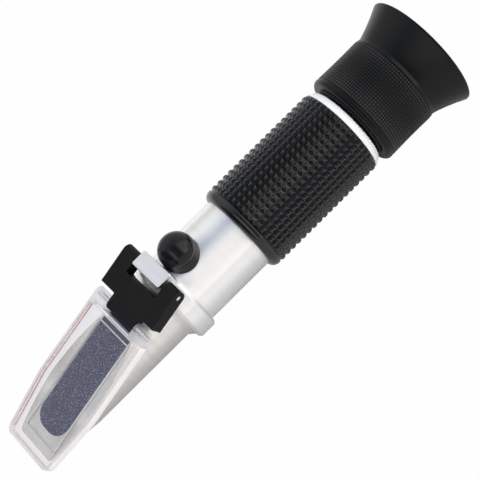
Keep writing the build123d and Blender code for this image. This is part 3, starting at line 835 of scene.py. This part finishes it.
# The lenses and the reticle: ground and polished optical glass, held in their cells by rings.
lens_finish, _ = mottled(
    "lens_glass", 0.01, 1500.0, (0.96, 0.985, 0.975), (0.98, 1.0, 0.99),
    IOR=1.52, Transmission_Weight=1.0,
)
dress(lens_finish, "objective_lens", "reticle", "field_lens", "eye_lens")

# The cap: soft black rubber, moulded as a dome on a short skirt that sits saddle-wise on the tube
# and is pushed over the bush to keep dirt off the screw.
cap_x = 6.05
cap_base_r = 6.0
cap_dome_r = 5.78
cap_dome_height = 5.64
cap_shoulder_z = 15.4
cap_crease = 0.25
cap_saddle_r = 12.78
cap_saddle_z = 11.4
cap_foot = 0.15
cap_hollow_r = 3.45
cap_hollow_top = 16.05


def spun(outline, axis, centre, steps):
    """A closed outline turned once round an axis; points are (along the axis, radius)."""
    bm = bmesh.new()
    side = Vector((0, 0, 1)) if axis == (1, 0, 0) else Vector((1, 0, 0))
    points = [bm.verts.new(Vector(centre) + Vector(axis) * a + side * r) for a, r in outline]
    lines = [bm.edges.new((a, b)) for a, b in zip(points, points[1:] + points[:1])]
    bmesh.ops.spin(bm, geom=points + lines, cent=centre, axis=axis, angle=2 * math.pi,
                   steps=steps, use_merge=True)
    bmesh.ops.remove_doubles(bm, verts=bm.verts, dist=0.0005)
    return bm


def quarter(centre, along, out, steps, opening=False):
    """Points on a quarter of an ellipse, which rises to its crown or falls from its side."""
    points = []
    for k in range(steps + 1):
        turn = math.pi / 2 * k / steps
        a, r = (math.sin(turn), math.cos(turn)) if opening else (-math.cos(turn), math.sin(turn))
        points.append((centre[0] + along * a, centre[1] + out * r))
    return points


cap_top_z = cap_shoulder_z + cap_dome_height
outline = [
    (cap_saddle_z, cap_hollow_r),
    (cap_saddle_z, cap_base_r - cap_foot),
    (cap_saddle_z + cap_foot, cap_base_r),
    (cap_shoulder_z - 0.55, cap_dome_r - 0.05),
    (cap_shoulder_z - 0.35, cap_dome_r - cap_crease),
    (cap_shoulder_z - 0.2, cap_dome_r - cap_crease),
    (cap_shoulder_z - 0.05, cap_dome_r - 0.03),
]
outline += quarter((cap_shoulder_z, 0), cap_dome_height, cap_dome_r, 14, opening=True)[:-1]
outline += [(cap_top_z, 0), (cap_hollow_top, 0), (cap_hollow_top, cap_hollow_r)]
bm = spun(outline, (0, 0, 1), (cap_x, 0, 0), 64)
for v in bm.verts:
    if v.co.z < cap_saddle_z + cap_foot + 0.05:
        v.co.z += math.sqrt(cap_saddle_r ** 2 - v.co.y ** 2) - cap_saddle_z
rubber_cap, height = mottled(
    "cap_rubber", 0.20, 2500.0, (0.0035, 0.0035, 0.004), (0.006, 0.006, 0.0065), IOR=1.345
)
bumpy(rubber_cap, height, 0.15)
cap = new_piece("rubber_cap", bm, Matrix.Identity(4), rubber_cap, "cap")
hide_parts("screw_cap")

# The grip: a moulded rubber sleeve stretched over the tube, with eighteen rows of small pyramids
# whose tips are painted paler, partly as wear and partly as painted sheen, and a smooth rounded
# bead in front of them.
grip_start = 23.7
bead_end = 26.6
field_start = 26.9
grip_end = 67.3
grip_rows = 18
grip_columns = 44
grip_inner_r = 12.75
grip_r = 15.2
grip_root_r = 14.6
pyramid_slope = 0.9
pyramid_edge = 0.08
outline = [(field_start, grip_inner_r)]
for row in range(grip_rows + 1):
    outline.append((field_start + (grip_end - field_start) / grip_rows * row, grip_root_r))
outline.append((grip_end, grip_inner_r))
bm = spun(outline, (1, 0, 0), (0, 0, 0), grip_columns)
bmesh.ops.recalc_face_normals(bm, faces=bm.faces)


def off_axis(point):
    """A point's distance from the barrel's axis."""
    return math.hypot(point.y, point.z)


def lift_out(faces, height):
    """Move faces straight out from the barrel's axis."""
    for face in faces:
        out = Vector((0, *face.calc_center_median().yz)).normalized()
        for v in face.verts:
            v.co += out * height


field = [f for f in bm.faces if off_axis(f.calc_center_median()) > grip_root_r - 0.3]
bmesh.ops.inset_individual(
    bm, faces=field, thickness=pyramid_slope, depth=0.0, use_even_offset=True
)
lift_out(field, grip_r - grip_root_r)
tips = [e for e in bm.edges if min(off_axis(v.co) for v in e.verts) > grip_r - 0.2]
round_off(bm, tips, pyramid_edge, 1)


def paler_tops(tree, place, tone, low_r, high_r, pale):
    """The tone of a rubber that is paler where it stands out furthest from the barrel's axis:
    painted sheen and wear on its tops.
    """
    flat = node(tree, "VectorMath", {0: place, 1: (0, 1, 1)}, operation="MULTIPLY").outputs[0]
    radius = node(tree, "VectorMath", {0: flat}, operation="LENGTH").outputs["Value"]
    return blend(tree, scaled(tree, radius, low_r * mm, high_r * mm), tone, pale)


grip_rubber, height = mottled(
    "grip_rubber", 0.14, 3000.0, (0.0012, 0.0012, 0.0013), (0.0025, 0.0025, 0.0025),
    Specular_IOR_Level=0.5,
)
tree, shader, place = inside(grip_rubber)
tone = feeding(shader, "Base Color")
# painted sheen and wear: the pyramids' tips are paler
tone = paler_tops(tree, place, tone, grip_r - 0.25, grip_r, (0.020, 0.020, 0.019))
tree.links.new(tone, shader.inputs["Base Color"])
bumpy(grip_rubber, height, 0.2)
sleeve = new_piece(
    "grip_field", bm, Matrix.Identity(4), grip_rubber, "barrel", smooth_angle=20
)
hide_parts("grip_sleeve")

outline = [(grip_start, grip_inner_r)]
outline += quarter((26.2, 12.9), 2.5, 2.15, 12)
outline += arc((26.3, 14.75), 0.3, 90, 0, 4)
outline += [(bead_end, 14.3), (field_start, 14.3), (field_start, grip_inner_r)]
bm = spun(outline, (1, 0, 0), (0, 0, 0), 88)
bead = new_piece(
    "grip_bead", bm, Matrix.Identity(4), grip_rubber, "barrel"
)
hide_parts("grip_sleeve")

# The rear ring: aluminium turned bright and blasted to an even white, screwed into the tube's
# end. It holds the grip in place and carries the focusing thread.
ring_finish = turned_metal(
    "bright_aluminium", (1.0, 0.998, 0.995), (0.99, 0.988, 0.985), 0.60, 5000.0, 0.0, 0.00008
)
_, shader, _ = inside(ring_finish)
shader.inputs["Anisotropic"].default_value = 0.0
shader.inputs["Metallic"].default_value = 0.15
dress(ring_finish, "focus_bush")

# The eyecup: soft moulded rubber pulled over the eyepiece barrel, with a rolled bead in front,
# a band of fine pimples to turn it by, and a flared cup for the eye.
cup_front = 71.3
cup_inner_r = 13.05
cup_sleeve_r = 15.93
cup_sleeve_dip = 0.11
knurl_start = 73.75
knurl_end = 89.5
knurl_middle = (knurl_start + knurl_end) / 2
knurl_rows = 18
knurl_columns = 114
pimple_gap = 0.13
pimple_slope = 0.10
pimple_height = 0.17


def sleeve_r(x):
    """Radius of the sleeve, which draws in a little halfway along."""
    return cup_sleeve_r - cup_sleeve_dip * math.cos((x - 82.6) / 7.6 * math.pi / 2)


bead_outline = arc((cup_front + 1.5, 14.65), 1.5, 180, 90, 9)
bead_outline += [(72.95, 16.17)] + arc((73.1, 15.87), 0.3, 90, 0, 4)
groove_outline = [(73.45, 15.80), (73.6, 15.82)]
knurl_outline = []
for row in range(knurl_rows + 1):
    x = knurl_start + (knurl_end - knurl_start) * row / knurl_rows
    knurl_outline.append((x, sleeve_r(x)))
waist_outline = [(89.85, 16.0), (90.2, 15.98), (90.6, 15.8), (91.2, 15.78), (91.9, 15.9)]
flare_outline = [(93.2, 16.3), (96.0, 17.3), (99.0, 18.55), (101.6, 19.78)]
rim_outline = [(102.0, 19.97), (102.3, 19.93), (102.5, 19.6), (102.5, 18.75), (102.3, 18.6)]
funnel_outline = [(100.0, 15.6), (98.0, 12.9), (97.4, 12.2), (96.6, 11.7), (95.0, 10.62),
                  (94.8, 10.5), (94.5, 10.4), (93.7, 10.4), (93.55, 10.5), (93.55, cup_inner_r)]
outline = [(cup_front, cup_inner_r)] + bead_outline + groove_outline + knurl_outline
outline += waist_outline + flare_outline + rim_outline + funnel_outline
bm = spun(outline, (1, 0, 0), (0, 0, 0), knurl_columns)
bmesh.ops.recalc_face_normals(bm, faces=bm.faces)
band = []
for face in bm.faces:
    middle = face.calc_center_median()
    if knurl_start < middle.x < knurl_end and off_axis(middle) > 15:
        band.append(face)
for width in (pimple_gap, pimple_slope):
    bmesh.ops.inset_individual(bm, faces=band, thickness=width, depth=0.0, use_even_offset=True)
lift_out(band, pimple_height)

cup_rubber, height = mottled(
    "eyecup_rubber", 0.32, 2500.0, (0.0012, 0.0012, 0.0012), (0.003, 0.003, 0.003),
    Specular_IOR_Level=0.2,
)
tree, shader, place = inside(cup_rubber)
tone = feeding(shader, "Base Color")
along = node(tree, "SeparateXYZ", {0: place}).outputs["X"]
half_band = (knurl_end - knurl_start) / 2
on_band = reckon(tree, "COMPARE", along, knurl_middle * mm, half_band * mm)
# painted sheen and wear: the pimples' tops on the band are paler
pimples = paler_tops(tree, place, tone, 15.95, 16.06, (0.040, 0.041, 0.041))
tree.links.new(blend(tree, on_band, tone, pimples), shader.inputs["Base Color"])
bumpy(cup_rubber, height, 0.3, 0.00003)
cup = new_piece("soft_eyecup", bm, Matrix.Identity(4), cup_rubber, "eyepiece")
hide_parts("eyecup")
